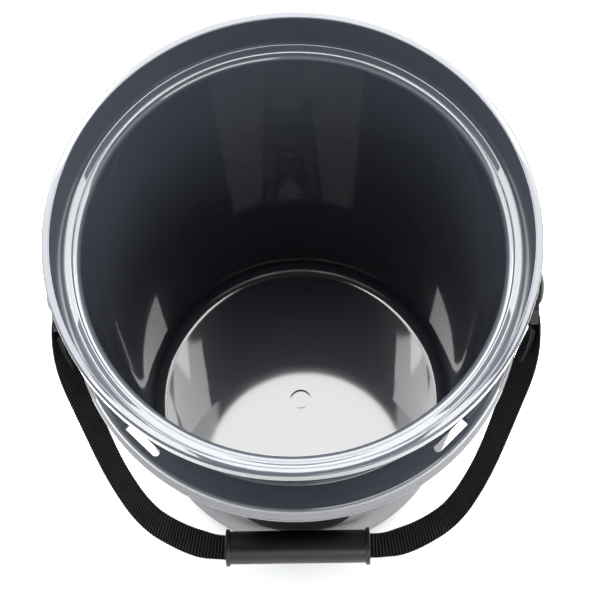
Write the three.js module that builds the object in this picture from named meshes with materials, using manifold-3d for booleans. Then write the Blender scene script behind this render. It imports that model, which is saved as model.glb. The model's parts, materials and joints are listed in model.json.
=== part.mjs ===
// Wash bucket: a 20-litre tapered pail with a collar, a wrap label, two collar trim strips and a
// webbing carry handle that swings on two side pins and carries a sliding tube grip.
//
// Millimetres, +Z up. The origin is the centre of the circle that the foot stands on, the handle
// turns about an axis along X, and at rest it hangs at the front, towards -Y.

import * as THREE from 'three';
import { mergeVertices } from 'three/addons/utils/BufferGeometryUtils.js';
import Module from 'manifold-3d';

// ---------------------------------------------------------------- driving dimensions

const gap = 0.3; // clearance between neighbouring pieces
const wall = 2.5; // moulded wall thickness
const roundSteps = 48; // facets round the bucket
const taper = 0.0475; // how much the wall radius grows per millimetre of height

const rim = { radius: 160, topZ: 390, width: 5.4, depth: 11.4, hookWall: 2.2, grooveDepth: 7, round: 1.6 };
const ledge = { z: 365, radius: 149.2, slopeEnd: { radius: 143.6, z: 362 } };
const cavity = { topRadius: 139.2, topZ: 357, floorZ: 14, heelRound: 10 };
const gateMark = { outerRadius: 11.2, innerRadius: 7.9, height: 0.3 };
const foot = { radius: 122.8, innerRadius: 119.6, heelTopZ: 32, recessZ: 11.2 };
const collar = {
  topZ: 279.4, edgeRadius: 156.6, edgeRound: 3, bottomZ: 258.6, bottomRadius: 159.2, skirt: 2.4,
};
const band = { topZ: 272.8, bottomZ: 261.2, thickness: 0.9 };
const label = { bottomZ: 2.5, topZ: 252, thickness: 0.8, seam: 3 };

const slot = { azimuth: 44.5, length: 29.5, width: 5.6, radius: 148.5 };
const gusset = { azimuth: 51.5, thickness: 3.4, height: 16, reach: 150.4 };
const collarRibs = { azimuths: [0, 12, 24, 36, 54, 65, 76], thickness: 1.8, bottomZ: 263 };
const earPad = { startAzimuth: 52, radius: 150.4, height: 1.8 };

const hingeZ = 283.4; // height of the handle's swing axis
const ear = { halfWidth: 15, faceX: 159.6, bottomZ: 262, bossRadius: 13.5, bossX: 163 };
const earBore = { radius: 3.9, endX: 147, snapRadius: 5, snapX: 151.6 };
const link = {
  eyeRadius: 13.5, thickness: 5.6, frameHalfWidth: 17.25, shoulderDrop: 10.2,
  windowHalfWidth: 13.25, windowTop: 13.2, barDrop: 19.3,
};
const pin = { shoulderRadius: 4.4, shankRadius: 3.6, headRadius: 12.6, headHeight: 4.2, barbRadius: 4.6 };

const strap = { width: 25, narrowWidth: 22, thickness: 2, tailLength: 38, narrowFrom: 60, wideFrom: 70 };
const grip = {
  length: 111, radius: 12.7, bore: 11.4, flangeRadius: 14.4, flangeLength: 3, round: 1,
  drop: 231.1, restShift: -2.4,
};
const restSwing = 38.7; // degrees that the handle hangs forward of straight down, resting on the wall

// The route of the webbing's middle line in the handle's own plane: distance to the side, then
// distance below the swing axis. It starts beside the link's bar and ends where the grip begins.
const strapRoute = [
  [170.3, 19.3], [169.9, 34], [167.6, 60], [164.3, 88], [161.9, 104], [157.6, 117], [151, 132],
  [142.4, 151], [132.8, 170], [121.6, 188.5], [108.4, 206], [92.4, 219.6], [76.2, 227.8], [60, 231.1],
];

// ---------------------------------------------------------------- values worked out from them

const linkX = ear.bossX + gap + link.thickness / 2; // middle plane of a strap link
const barRadius = link.thickness / 2;
const loopRadius = barRadius + gap + strap.thickness / 2; // webbing's middle line round the bar
const innerRadiusAt = (z) => cavity.topRadius - taper * (cavity.topZ - z);
const outerRadiusAt = (z) => innerRadiusAt(z) + wall;
const skirtHeight = collar.topZ - collar.edgeRound - collar.bottomZ;
const skirtFlare = (collar.bottomRadius - collar.edgeRadius) / skirtHeight;
const skirtRadiusAt = (z) => collar.bottomRadius - skirtFlare * (z - collar.bottomZ);
const radians = THREE.MathUtils.degToRad;

// ---------------------------------------------------------------- solids and outlines

const wasm = await Module();
wasm.setup();

// A closed three.js geometry as a manifold solid, for joining and cutting.
function toSolid(geometry) {
  const bare = geometry.clone();
  bare.deleteAttribute('normal');
  bare.deleteAttribute('uv');
  const merged = mergeVertices(bare, 1e-4);
  const vertProperties = new Float32Array(merged.attributes.position.array);
  const triVerts = new Uint32Array(merged.index.array);
  return new wasm.Manifold(new wasm.Mesh({ numProp: 3, vertProperties, triVerts }));
}

// A manifold solid back as a three.js geometry.
function toGeometry(solid) {
  const mesh = solid.getMesh();
  const geometry = new THREE.BufferGeometry();
  geometry.setAttribute('position', new THREE.BufferAttribute(mesh.vertProperties, 3));
  geometry.setIndex(new THREE.BufferAttribute(mesh.triVerts, 1));
  return geometry;
}

// Points on an arc in the radius-height plane; angles in degrees, 0 outwards and 90 up.
function arc(radius, z, size, from, to, steps) {
  const points = [];
  for (let i = 0; i <= steps; i += 1) {
    const angle = radians(from + ((to - from) * i) / steps);
    points.push([radius + size * Math.cos(angle), z + size * Math.sin(angle)]);
  }
  return points;
}

// Points on a quadratic curve from start to end, pulled towards the control point.
function bend(start, control, end, steps) {
  const curve = new THREE.QuadraticBezierCurve(
    new THREE.Vector2(...start),
    new THREE.Vector2(...control),
    new THREE.Vector2(...end),
  );
  return curve.getPoints(steps).map((point) => [point.x, point.y]);
}

// A radius-height outline turned about the Z axis. The outline runs up its outside and down its
// inside; it starts and ends on the axis, or it is closed here.
function turned(outline, steps = roundSteps) {
  const points = outline.map(([radius, z]) => new THREE.Vector2(radius, z));
  if (points[0].x > 0) points.push(points[0].clone());
  return new THREE.LatheGeometry(points, steps).rotateX(Math.PI / 2);
}

// The same, turned about the X axis: an outline of radius against x.
function turnedAboutX(outline, steps) {
  const geometry = turned(outline, steps);
  return geometry.rotateY(Math.PI / 2);
}

function boxBetween(low, high) {
  const size = high.map((value, axis) => value - low[axis]);
  const geometry = new THREE.BoxGeometry(...size);
  return geometry.translate(...low.map((value, axis) => value + size[axis] / 2));
}

// Turn a piece built towards the front, -Y, round to an azimuth; 90 is towards +X.
function atAzimuth(geometry, azimuth) {
  return geometry.rotateZ(radians(azimuth));
}

// An outline in the Y-Z plane pushed along +X from startX to endX.
function alongX(shape, startX, endX) {
  const settings = { depth: endX - startX, bevelEnabled: false, curveSegments: 9 };
  const geometry = new THREE.ExtrudeGeometry(shape, settings);
  geometry.rotateX(Math.PI / 2);
  geometry.rotateZ(Math.PI / 2);
  return geometry.translate(startX, 0, 0);
}

function cylinderAlongX(radius, startX, endX, steps = 24) {
  const geometry = new THREE.CylinderGeometry(radius, radius, endX - startX, steps);
  geometry.rotateZ(Math.PI / 2);
  return geometry.translate((startX + endX) / 2, 0, 0);
}

// ---------------------------------------------------------------- bucket body

// The outside of the heel, where the wall rounds in to the foot.
function heelCurve(offset, bottomZ) {
  const start = [outerRadiusAt(foot.heelTopZ) + offset, foot.heelTopZ];
  const control = [outerRadiusAt(foot.heelTopZ / 2) + offset, foot.heelTopZ / 2];
  const end = [foot.radius + offset, bottomZ];
  return bend(end, control, start, 3);
}

function bodyOutline() {
  const footAndHeel = [
    [0, foot.recessZ],
    [foot.innerRadius + 1, foot.recessZ],
    [foot.innerRadius, 0],
    [foot.radius - 0.9, 0],
    ...heelCurve(0, 1.2),
  ];
  const underCollar = [
    [outerRadiusAt(collar.topZ - wall), collar.topZ - wall],
    [collar.edgeRadius - collar.skirt - 0.6, collar.topZ - wall],
    [skirtRadiusAt(collar.bottomZ) - collar.skirt, collar.bottomZ],
  ];
  const skirtFace = [
    [collar.bottomRadius, collar.bottomZ],
    [skirtRadiusAt(band.bottomZ), band.bottomZ],
    [skirtRadiusAt(band.bottomZ) - band.thickness - gap, band.bottomZ],
    [skirtRadiusAt(band.topZ) - band.thickness - gap, band.topZ],
    [skirtRadiusAt(band.topZ), band.topZ],
  ];
  const round = collar.edgeRound;
  const shelfEdge = arc(collar.edgeRadius - round, collar.topZ - round, round, 0, 90, 2);
  const filletSize = 2.6;
  const filletRadius = outerRadiusAt(collar.topZ) + filletSize;
  const shelfFillet = arc(filletRadius, collar.topZ + filletSize, filletSize, 270, 180, 2);
  const neckTop = rim.topZ - rim.depth;
  const underRim = [
    [outerRadiusAt(cavity.topZ - 6), cavity.topZ - 6],
    [ledge.radius + wall, ledge.z - 3],
    [rim.radius - rim.width, neckTop],
    [rim.radius - rim.width + 0.4, neckTop + rim.grooveDepth],
    [rim.radius - rim.hookWall, neckTop + rim.grooveDepth],
    [rim.radius - rim.hookWall, neckTop],
    [rim.radius - 0.2, neckTop],
  ];
  const rimTop = [
    ...arc(rim.radius - rim.round, rim.topZ - rim.round, rim.round, 0, 90, 2),
    [rim.radius - rim.width + 0.8, rim.topZ],
    [rim.radius - rim.width, rim.topZ - 0.8],
  ];
  const insideLedge = [
    [ledge.radius, ledge.z],
    [ledge.slopeEnd.radius, ledge.slopeEnd.z],
    ...arc(cavity.topRadius + 4.4, cavity.topZ, 4.4, 90, 180, 2),
  ];
  const heelCentre = innerRadiusAt(cavity.floorZ + cavity.heelRound) - cavity.heelRound;
  const floor = [
    ...arc(heelCentre, cavity.floorZ + cavity.heelRound, cavity.heelRound, 0, -90, 3),
    [gateMark.outerRadius, cavity.floorZ],
    [gateMark.outerRadius - 0.8, cavity.floorZ + gateMark.height],
    [gateMark.innerRadius, cavity.floorZ + gateMark.height],
    [gateMark.innerRadius - 0.8, cavity.floorZ],
    [0, cavity.floorZ],
  ];
  return [
    ...footAndHeel, ...underCollar, ...skirtFace, ...shelfEdge, ...shelfFillet,
    ...underRim, ...rimTop, ...insideLedge, ...floor,
  ];
}

// Everything inside the middle of the bucket's wall, cut away from pieces joined to its outside.
function wallCore() {
  const inset = wall / 2;
  return toSolid(turned([
    [0, 200],
    [innerRadiusAt(200) + inset, 200],
    [innerRadiusAt(340) + inset, 340],
    [0, 340],
  ]));
}

// A drain slot cut through the collar shelf: square at the ear's end, round at the other.
function drainSlot(side, fromFront) {
  const half = slot.length / 2;
  const r = slot.width / 2;
  const shape = new THREE.Shape();
  shape.moveTo(half, -r);
  shape.lineTo(half, r);
  shape.lineTo(-half + r, r);
  shape.absarc(-half + r, 0, r, Math.PI / 2, (Math.PI * 3) / 2, false);
  const cutter = new THREE.ExtrudeGeometry(shape, { depth: 20, bevelEnabled: false, curveSegments: 8 });
  const turn = side * fromFront;
  if (turn < 0) cutter.rotateZ(Math.PI);
  cutter.translate(0, -slot.radius, collar.topZ - 10);
  return atAzimuth(cutter, fromFront > 0 ? side * slot.azimuth : side * (180 - slot.azimuth));
}

// A triangular stiffener standing on the shelf against the neck, at a slot's square end.
function shelfGusset(azimuth) {
  const innerReach = innerRadiusAt(200);
  const shape = new THREE.Shape();
  shape.moveTo(-innerReach, -1);
  shape.lineTo(-gusset.reach, -1);
  shape.lineTo(-gusset.reach, 1);
  shape.lineTo(-outerRadiusAt(collar.topZ), gusset.height);
  shape.lineTo(-innerReach, gusset.height);
  const plate = alongX(shape, -gusset.thickness / 2, gusset.thickness / 2);
  return atAzimuth(plate.translate(0, 0, collar.topZ), azimuth);
}

// A thin rib under the collar, between the wall and the skirt.
function collarRib(azimuth) {
  const reach = collar.edgeRadius - 1;
  const low = [-collarRibs.thickness / 2, -reach, collarRibs.bottomZ];
  const high = [collarRibs.thickness / 2, -innerRadiusAt(200), collar.topZ - wall / 2];
  return atAzimuth(boxBetween(low, high), azimuth);
}

// A low raised pad on the shelf, on both sides of an ear.
function earShelfPad(side) {
  const start = radians(earPad.startAzimuth - 90);
  const end = -start;
  const shape = new THREE.Shape();
  shape.absarc(0, 0, earPad.radius, start, end, false);
  shape.absarc(0, 0, innerRadiusAt(200), end, start, true);
  const height = earPad.height + 1;
  const pad = new THREE.ExtrudeGeometry(shape, { depth: height, bevelEnabled: false, curveSegments: 12 });
  pad.translate(0, 0, collar.topZ - 1);
  return side < 0 ? pad.rotateZ(Math.PI) : pad;
}

// The block behind each pin, with a round boss on its face.
function earBlock() {
  const shape = new THREE.Shape();
  shape.moveTo(-ear.halfWidth, ear.bottomZ - hingeZ);
  shape.lineTo(ear.halfWidth, ear.bottomZ - hingeZ);
  shape.lineTo(ear.halfWidth, 0);
  shape.absarc(0, 0, ear.halfWidth, 0, Math.PI, false);
  const block = toSolid(alongX(shape, innerRadiusAt(200), ear.faceX));
  const boss = toSolid(cylinderAlongX(ear.bossRadius, ear.faceX - 2, ear.bossX, 32));
  return block.add(boss);
}

// The blind hole in an ear, wider at its end so that the pin's barb snaps in.
function earBoreCutter() {
  const bore = toSolid(cylinderAlongX(earBore.radius, earBore.endX, ear.bossX + 5));
  const snap = toSolid(cylinderAlongX(earBore.snapRadius, earBore.endX, earBore.snapX));
  return bore.add(snap);
}

function bucketBody() {
  const core = wallCore();
  const additions = [];
  for (const azimuth of collarRibs.azimuths) {
    const turns = azimuth === 0 ? [0, 180] : [azimuth, -azimuth, 180 - azimuth, azimuth - 180];
    turns.forEach((turn) => additions.push(toSolid(collarRib(turn))));
  }
  for (const turn of [gusset.azimuth, -gusset.azimuth, 180 - gusset.azimuth, gusset.azimuth - 180]) {
    additions.push(toSolid(shelfGusset(turn)));
  }
  for (const side of [1, -1]) {
    additions.push(toSolid(earShelfPad(side)));
    additions.push(earBlock().rotate([0, 0, side > 0 ? 0 : 180]).translate([0, 0, hingeZ]));
  }
  let body = toSolid(turned(bodyOutline()));
  for (const piece of additions) body = body.add(piece.subtract(core));
  for (const side of [1, -1]) {
    body = body.subtract(earBoreCutter().rotate([0, 0, side > 0 ? 0 : 180]).translate([0, 0, hingeZ]));
    for (const fromFront of [1, -1]) body = body.subtract(toSolid(drainSlot(side, fromFront)));
  }
  return toGeometry(body);
}

// ---------------------------------------------------------------- label and collar trim

// The wrap label: a thin skin over the wall from foot to collar, open along a seam at the back.
function bodyLabel() {
  const inner = gap;
  const outer = gap + label.thickness;
  const skin = turned([
    ...heelCurve(outer, label.bottomZ),
    [outerRadiusAt(label.topZ) + outer, label.topZ],
    [outerRadiusAt(label.topZ) + inner, label.topZ],
    ...heelCurve(inner, label.bottomZ).reverse(),
  ]);
  const seam = boxBetween([-label.seam / 2, 100, -10], [label.seam / 2, 150, label.topZ + 10]);
  return toGeometry(toSolid(skin).subtract(toSolid(seam)));
}

// A curved trim strip in the skirt's recess, from one ear round to the other.
function collarBand(towards) {
  const inset = band.thickness;
  const ring = toSolid(turned([
    [skirtRadiusAt(band.bottomZ), band.bottomZ + gap],
    [skirtRadiusAt(band.topZ), band.topZ - gap],
    [skirtRadiusAt(band.topZ) - inset, band.topZ - gap],
    [skirtRadiusAt(band.bottomZ) - inset, band.bottomZ + gap],
  ]));
  const cut = ear.halfWidth + 2 * gap;
  const keep = towards < 0
    ? boxBetween([-200, -200, 200], [200, -cut, 300])
    : boxBetween([-200, cut, 200], [200, 200, 300]);
  return toGeometry(ring.intersect(toSolid(keep)));
}

// ---------------------------------------------------------------- handle

// A dome-headed snap pin: head, bearing shoulder, shank and barb, lying along X.
function pivotPin() {
  const headX = linkX + link.thickness / 2 + gap;
  const shoulderEnd = ear.bossX + gap;
  const tip = earBore.endX + 0.6;
  const top = headX + pin.headHeight;
  const dome = bend([pin.headRadius, headX + 1.2], [pin.headRadius * 0.8, top], [0, top], 3);
  return turnedAboutX([
    [0, tip],
    [pin.shankRadius - 1, tip],
    [pin.barbRadius, tip + 2.4],
    [pin.shankRadius, tip + 3.4],
    [pin.shankRadius, shoulderEnd - gap],
    [pin.shoulderRadius, shoulderEnd],
    [pin.shoulderRadius, headX],
    [pin.headRadius, headX],
    ...dome,
  ], 20);
}

// A strap link in the handle's frame: an eye round the pin, and a frame with a round bar below it.
function strapLink() {
  const shape = new THREE.Shape();
  const frameEnd = link.barDrop + barRadius - 0.6;
  const cornerRound = 3;
  const eyeSide = new THREE.Vector2(link.eyeRadius, 0).rotateAround(new THREE.Vector2(), radians(-10));
  shape.moveTo(-link.frameHalfWidth, -link.shoulderDrop);
  shape.lineTo(-link.frameHalfWidth, -frameEnd + cornerRound);
  shape.quadraticCurveTo(-link.frameHalfWidth, -frameEnd, -link.frameHalfWidth + cornerRound, -frameEnd);
  shape.lineTo(link.frameHalfWidth - cornerRound, -frameEnd);
  shape.quadraticCurveTo(link.frameHalfWidth, -frameEnd, link.frameHalfWidth, -frameEnd + cornerRound);
  shape.lineTo(link.frameHalfWidth, -link.shoulderDrop);
  shape.quadraticCurveTo(link.frameHalfWidth - 1, -8, eyeSide.x, eyeSide.y);
  shape.absarc(0, 0, link.eyeRadius, radians(-10), radians(190), false);
  shape.quadraticCurveTo(-link.frameHalfWidth + 1, -8, -link.frameHalfWidth, -link.shoulderDrop);
  const start = linkX - link.thickness / 2;
  const end = linkX + link.thickness / 2;
  const plate = toSolid(alongX(shape, start, end));
  const window = boxBetween(
    [start - 1, -link.windowHalfWidth, -frameEnd - 1],
    [end + 1, link.windowHalfWidth, -link.windowTop],
  );
  const bar = new THREE.CylinderGeometry(barRadius, barRadius, 2 * link.frameHalfWidth - 4, 20);
  bar.translate(linkX, 0, -link.barDrop);
  const eye = cylinderAlongX(pin.shoulderRadius + gap, start - 1, end + 1);
  return plate.subtract(toSolid(window)).add(toSolid(bar)).subtract(toSolid(eye));
}

// The webbing's middle line on the +X side as points [side, drop], from the end of the folded-back
// tail, up and round the link's bar, then down the leg to the grip.
function strapSide() {
  const leg = new THREE.SplineCurve(strapRoute.map(([side, drop]) => new THREE.Vector2(side, drop)));
  const down = leg.getSpacedPoints(30);
  const tailOffset = strap.thickness + gap;
  const tail = down
    .filter((point) => point.y > link.barDrop + 14 && point.y < link.barDrop + strap.tailLength)
    .map((point) => new THREE.Vector2(point.x - tailOffset, point.y))
    .reverse();
  const round = [];
  const turnSteps = 6;
  for (let i = 0; i <= turnSteps; i += 1) {
    const angle = Math.PI * (1 - i / turnSteps);
    const x = linkX + loopRadius * Math.cos(angle);
    round.push(new THREE.Vector2(x, link.barDrop - loopRadius * Math.sin(angle)));
  }
  const shoulder = new THREE.Vector2(linkX - loopRadius + 1, link.barDrop + 6);
  return [...tail, shoulder, ...round, ...down.slice(1)];
}

// The webbing narrows where it curls to pass through the grip.
function strapWidthAt(side) {
  const ratio = THREE.MathUtils.smoothstep(Math.abs(side), strap.narrowFrom, strap.wideFrom);
  return THREE.MathUtils.lerp(strap.narrowWidth, strap.width, ratio);
}

// The whole strap: a flat rectangular section carried along the middle line from tail to tail.
function handleStrap() {
  const right = strapSide();
  const left = right.map((point) => new THREE.Vector2(-point.x, point.y)).reverse();
  const line = [...right, ...left];
  const positions = [];
  const indices = [];
  line.forEach((point, i) => {
    const before = line[Math.max(i - 1, 0)];
    const after = line[Math.min(i + 1, line.length - 1)];
    const along = after.clone().sub(before).normalize();
    const across = new THREE.Vector2(-along.y, along.x).multiplyScalar(strap.thickness / 2);
    const half = strapWidthAt(point.x) / 2;
    for (const [side, edge] of [[1, 1], [1, -1], [-1, -1], [-1, 1]]) {
      positions.push(point.x + side * across.x, edge * half, -(point.y + side * across.y));
    }
    if (i === 0) return;
    for (let corner = 0; corner < 4; corner += 1) {
      const next = (corner + 1) % 4;
      const [a, b] = [4 * (i - 1) + corner, 4 * (i - 1) + next];
      indices.push(a, a + 4, b, b, a + 4, b + 4);
    }
  });
  const last = 4 * (line.length - 1);
  indices.push(0, 1, 2, 0, 2, 3, last, last + 2, last + 1, last, last + 3, last + 2);
  const geometry = new THREE.BufferGeometry();
  geometry.setAttribute('position', new THREE.Float32BufferAttribute(positions, 3));
  geometry.setIndex(indices);
  return geometry;
}

// The tube grip along X, with a flange at each end and a plain bore.
function handleGrip() {
  const half = grip.length / 2;
  const flange = half - grip.flangeLength;
  const r = grip.round;
  const end = [
    [grip.flangeRadius, flange],
    ...arc(grip.flangeRadius - r, half - r, r, 0, 90, 2),
    [grip.bore + r, half],
    [grip.bore, half - r],
  ];
  const start = end.map(([radius, x]) => [radius, -x]).reverse();
  return turnedAboutX([
    ...start,
    [grip.radius, -flange],
    [grip.radius, flange],
    ...end,
  ], 28);
}

// ---------------------------------------------------------------- assembly

const anthracite = { color: 0x3b3e45, roughness: 0.22, metalness: 0 };
const lightGrey = { color: 0xc9c9cc, roughness: 0.45, metalness: 0 };
const blackWebbing = { color: 0x0f0f10, roughness: 0.9, metalness: 0 };
const blackPlastic = { color: 0x151516, roughness: 0.4, metalness: 0 };

function mesh(name, geometry, finish) {
  const piece = new THREE.Mesh(geometry, new THREE.MeshStandardMaterial(finish));
  piece.name = name;
  return piece;
}

const bucket = new THREE.Group();
bucket.add(mesh('bucket_body', bucketBody(), anthracite));
bucket.add(mesh('body_label', bodyLabel(), lightGrey));
bucket.add(mesh('collar_band_front', collarBand(-1), lightGrey));
bucket.add(mesh('collar_band_rear', collarBand(1), lightGrey));
for (const [name, turn] of [['pivot_pin_right', 0], ['pivot_pin_left', Math.PI]]) {
  const piece = mesh(name, pivotPin(), blackPlastic);
  piece.position.z = hingeZ;
  piece.rotation.z = turn;
  bucket.add(piece);
}

// The handle is built hanging straight down from the swing axis, then turned forward to its rest.
const handle = new THREE.Group();
handle.position.z = hingeZ;
handle.rotation.x = -radians(restSwing);
handle.add(mesh('handle_strap', handleStrap(), blackWebbing));
for (const [name, x] of [['strap_link_right', 0], ['strap_link_left', -2 * linkX]]) {
  const piece = mesh(name, toGeometry(strapLink()), blackPlastic);
  piece.position.x = x;
  handle.add(piece);
}
const tube = mesh('handle_grip', handleGrip(), blackPlastic);
tube.position.set(grip.restShift, 0, -grip.drop);
handle.add(tube);
bucket.add(handle);

export default bucket;
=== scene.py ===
"""Wash bucket: its looks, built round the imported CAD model, which stays the fixed frame.

Lengths are in millimetres unless a name ends in _M; a mesh is scaled to metres when it is made.
+Z is up, the handle hangs at the front, towards -Y, and swings about an axis along X.
"""

import json
import math

import bmesh
import bpy
from mathutils import Matrix, Vector


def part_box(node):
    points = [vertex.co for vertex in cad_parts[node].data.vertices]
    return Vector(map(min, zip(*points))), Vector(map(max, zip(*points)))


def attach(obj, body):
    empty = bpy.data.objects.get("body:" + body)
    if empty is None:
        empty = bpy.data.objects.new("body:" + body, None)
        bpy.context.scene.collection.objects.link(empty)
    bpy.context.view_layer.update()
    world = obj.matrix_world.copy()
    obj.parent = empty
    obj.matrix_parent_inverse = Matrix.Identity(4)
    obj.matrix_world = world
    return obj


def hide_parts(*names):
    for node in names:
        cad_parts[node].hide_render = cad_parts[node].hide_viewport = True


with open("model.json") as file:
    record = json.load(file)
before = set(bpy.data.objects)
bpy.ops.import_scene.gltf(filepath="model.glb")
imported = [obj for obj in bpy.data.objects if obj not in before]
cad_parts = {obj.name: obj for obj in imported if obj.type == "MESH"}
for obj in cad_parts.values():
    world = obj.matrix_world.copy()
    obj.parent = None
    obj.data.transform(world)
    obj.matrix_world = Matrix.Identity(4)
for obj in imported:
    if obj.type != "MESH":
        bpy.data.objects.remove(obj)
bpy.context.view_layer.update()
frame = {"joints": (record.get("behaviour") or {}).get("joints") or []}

# ---------------------------------------------------------------- sizes taken from the frame

MM = 0.001
_, body_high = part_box("bucket_body")
grip_low, grip_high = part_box("handle_grip")
hinge = Vector(next(j["pos_m"] for j in frame["joints"] if j["name"] == "handle_swing")) / MM
grip_middle = (grip_low + grip_high) / 2 / MM

RIM_RADIUS = body_high.y / MM
RIM_TOP = body_high.z / MM
HINGE_Z = hinge.z
HANDLE_DROP = math.hypot(grip_middle.y - hinge.y, grip_middle.z - hinge.z)  # from the swing axis
HANDLE_LEAN = math.atan2(hinge.y - grip_middle.y, hinge.z - grip_middle.z)  # forward of straight down
GRIP_LENGTH = (grip_high.x - grip_low.x) / MM

# ---------------------------------------------------------------- driving dimensions

WALL = 2.5
ROUND_STEPS = 240  # facets round the bucket
CAVITY_TOP_RADIUS = 139.2
CAVITY_TOP_Z = 357
TAPER = 0.0475  # growth of the wall's radius per millimetre of height
FLOOR_Z = 14
HEEL_ROUND = 10
GATE_RING = 7.8  # middle radius of the gate mark, a faint raised ring in the middle of the floor
GATE_RING_HALF = 2.3  # half its width
GATE_RING_HEIGHT = 0.03

RIM_WIDTH = 5.4
RIM_DEPTH = 11.4
RIM_ROUND = 1.6
LEDGE_RADIUS = 149.2
LEDGE_Z = 365

COLLAR_TOP = 279.4
COLLAR_EDGE_RADIUS = 156.6
COLLAR_EDGE_ROUND = 3
COLLAR_BOTTOM = 258.6
COLLAR_BOTTOM_RADIUS = 159.2
SKIRT = 2.4
BAND_TOP = 272.8
BAND_BOTTOM = 261.2
BAND_THICKNESS = 0.9
GAP = 0.3

FOOT_RADIUS = 122.8
FOOT_INNER_RADIUS = 119.6
HEEL_TOP = 32
RECESS_Z = 11.2
LABEL_BOTTOM = 2.5
LABEL_TOP = 252
LABEL_THICKNESS = 0.8
LABEL_SEAM = 3

DROP_RADIUS = 40
DROP_MIDDLE = 130
DROP_TIP = 69  # how far the printed drop's point stands above its middle
DROP_SHIFT = 2.5  # how far to the left of the front it is printed

SLOT_AZIMUTH = 44.5
SLOT_LENGTH = 29.5
SLOT_WIDTH = 5.6
SLOT_RADIUS = 148.5
GUSSET_AZIMUTH = 51.5
GUSSET_THICKNESS = 3.4
GUSSET_HEIGHT = 16
PAD_RADIUS = 150.4
PAD_HEIGHT = 1.8
RIB_AZIMUTHS = (0, 12, 24, 36, 54, 65, 76)
RIB_THICKNESS = 1.8
RIB_BOTTOM = 263

EAR_HALF_WIDTH = 15
EAR_FACE = 159.6
EAR_BOTTOM = 262
BOSS_RADIUS = 13.5
BOSS_FACE = 163
BORE_END = 147
BORE_STEP = 151.6  # where the bore narrows, so that the pin's barb catches behind it

LINK_THICKNESS = 5.6
LINK_X = BOSS_FACE + GAP + LINK_THICKNESS / 2  # middle plane of a strap link
EYE_RADIUS = 13.5
FRAME_HALF_WIDTH = 17.25
WINDOW_HALF_WIDTH = 13.25
SHOULDER_DROP = 10.2
WINDOW_TOP = 13.2
BAR_DROP = 19.3
PIN_RADIUS = 4.4
PIN_SHANK = 3.6
PIN_BARB = 4.6
PIN_TIP = 147.6
PIN_HEAD_RADIUS = 12.6
PIN_HEAD_HEIGHT = 4.2

STRAP_WIDTH = 25
STRAP_NARROW = 22
STRAP_THICKNESS = 1.7
STRAP_TAIL = 38
STRAP_RIB_PITCH = 2.5
STRAP_RIB_HEIGHT = 0.5
COLUMN_PITCH = 1.25  # spacing of the yarn columns across the webbing
YARN_PITCH = 0.72  # spacing of the twist's marks along a yarn
STITCH_PITCH = 2.6

GRIP_RADIUS = 12.7
GRIP_BORE = 11.4
FLANGE_RADIUS = 14.4
FLANGE_LENGTH = 3

# How the webbing hangs, from beside the link's bar to where the grip begins: distance to the side,
# distance below the swing axis, and how far it has twisted, in degrees, to face upwards.
STRAP_ROUTE = (
    (170.2, 19.3, 0), (170.6, 28, 3), (169.2, 42, 12), (165.6, 58, 24),
    (161.4, 74, 29), (155.6, 94, 29), (149.8, 115, 26), (144.4, 134, 24),
    (138.2, 153, 22), (131.4, 170, 21), (122.6, 188, 20), (112, 203, 18),
    (100, 213.6, 17), (86.4, 222.4, 18), (72.6, 228.2, 19), (60, 230.6, 20),
)

LIGHT_HEIGHT_M = 2.1


def inner_radius(z):
    """Radius of the inside of the tapered wall at height z."""
    return CAVITY_TOP_RADIUS - TAPER * (CAVITY_TOP_Z - z)


def outer_radius(z):
    """Radius of the outside of the wall at height z."""
    return inner_radius(z) + WALL


def skirt_radius(z):
    """Radius of the outside of the collar's skirt, which flares downwards."""
    height = COLLAR_TOP - COLLAR_EDGE_ROUND - COLLAR_BOTTOM
    flare = (COLLAR_BOTTOM_RADIUS - COLLAR_EDGE_RADIUS) / height
    return COLLAR_BOTTOM_RADIUS - flare * (z - COLLAR_BOTTOM)


# ---------------------------------------------------------------- outlines and meshes


def arc(r, z, size, start, end, steps=6):
    """Points on an arc in the radius-height plane; angles in degrees, 0 outwards and 90 up."""
    points = []
    for i in range(steps + 1):
        angle = math.radians(start + (end - start) * i / steps)
        points.append((r + size * math.cos(angle), z + size * math.sin(angle)))
    return points


def bend(start, control, end, steps=8):
    """Points on a quadratic curve from start to end, pulled towards control."""
    points = []
    for i in range(steps + 1):
        t = i / steps
        points.append(tuple(
            (1 - t) ** 2 * a + 2 * t * (1 - t) * b + t * t * c for a, b, c in zip(start, control, end)
        ))
    return points


def between(before, start, end, after, t):
    """The value at t, from 0 at start to 1 at end, on a smooth curve through four values."""
    first = (end - before) * t
    second = (2 * before - 5 * start + 4 * end - after) * t * t
    third = (3 * start - before - 3 * end + after) * t ** 3
    return 0.5 * (2 * start + first + second + third)


def spline(points, step, divisions=40):
    """Points about step apart along a smooth curve through points, with both ends kept."""
    padded = [points[0], *points, points[-1]]
    dense = []
    for a, b, c, d in zip(padded, padded[1:], padded[2:], padded[3:]):
        for i in range(divisions):
            dense.append(Vector(between(*values, i / divisions) for values in zip(a, b, c, d)))
    dense.append(Vector(points[-1]))
    return evenly(dense, step)


def evenly(line, step):
    """The same line with points about step apart."""
    lengths = [0.0]
    for a, b in zip(line, line[1:]):
        lengths.append(lengths[-1] + (b - a).length)
    count = max(1, round(lengths[-1] / step))
    out = []
    j = 0
    for i in range(count + 1):
        target = lengths[-1] * i / count
        while j < len(line) - 2 and lengths[j + 1] < target:
            j += 1
        span = lengths[j + 1] - lengths[j]
        out.append(line[j].lerp(line[j + 1], (target - lengths[j]) / span if span else 0))
    return out


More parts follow.
